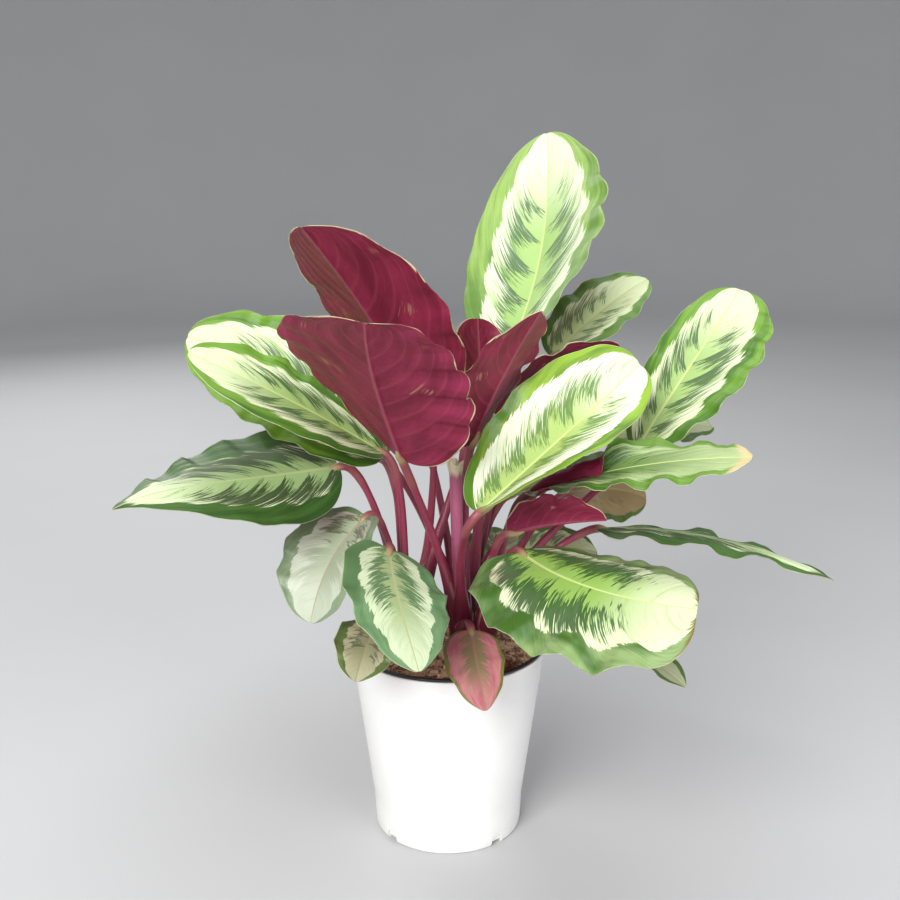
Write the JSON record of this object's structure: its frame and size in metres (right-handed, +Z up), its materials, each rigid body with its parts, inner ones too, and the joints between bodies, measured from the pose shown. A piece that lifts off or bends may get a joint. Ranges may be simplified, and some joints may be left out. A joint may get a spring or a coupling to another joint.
{
  "type": "potted calathea",
  "caption": "House plant with large waved, patterned leaves on maroon stems, rooted in coir in a black growing pot inside a tapered white plastic pot.",
  "frame": {"origin": "centre of the white pot's flat underside, on the pot's axis, at the surface that the pot stands on", "axes": "+Z up along the pot's axis; -Y is the side that the plant shows in the picture, with +X to its right"},
  "size_m": [0.47, 0.4273, 0.5346],
  "materials": {
    "white_plastic": "smooth satin, injection moulded",
    "black_plastic": "thin, smooth, slightly glossy on the lip",
    "coir": "dry husk chips and loose fibres",
    "maroon_stem": "smooth, shiny, faintly ribbed along its length",
    "patterned_leaf": "satin upper face with pale feathered bands, ribbed by its veins; maroon underside",
    "pink_leaf": "satin, pink with an olive rim, an ageing leaf",
    "tan_leaf": "satin, tan with a green rim, a fading leaf"
  },
  "bodies": {
    "root": {"pot": "white_plastic", "pot_liner": "black_plastic", "soil": "coir", "shoot_left": "maroon_stem", "shoot_middle": "maroon_stem", "shoot_right": "maroon_stem", "shoot_back": "maroon_stem", "leaf_crown": "patterned_leaf", "leaf_back_right_high": "patterned_leaf", "leaf_right_high": "patterned_leaf", "leaf_front_centre": "patterned_leaf", "leaf_right_furled": "patterned_leaf", "leaf_right_tan": "tan_leaf", "leaf_right_under": "patterned_leaf", "leaf_front_right_low": "patterned_leaf", "leaf_front_left_low": "patterned_leaf", "leaf_left_low": "patterned_leaf", "leaf_left_small": "patterned_leaf", "leaf_pink_small": "pink_leaf", "leaf_left_long": "patterned_leaf", "leaf_left_upper": "patterned_leaf", "leaf_left_behind": "patterned_leaf", "leaf_purple_front": "patterned_leaf", "leaf_purple_back": "patterned_leaf", "leaf_purple_centre": "patterned_leaf", "leaf_purple_far": "patterned_leaf", "leaf_purple_inner": "patterned_leaf", "leaf_right_narrow": "patterned_leaf", "leaf_right_inner": "patterned_leaf", "leaf_right_short": "patterned_leaf", "leaf_right_hanging": "patterned_leaf", "leaf_back_left": "patterned_leaf", "leaf_back_centre": "patterned_leaf", "leaf_back_right": "patterned_leaf", "leaf_back_side": "patterned_leaf", "leaf_back_low": "patterned_leaf"}
  },
  "joints": []
}
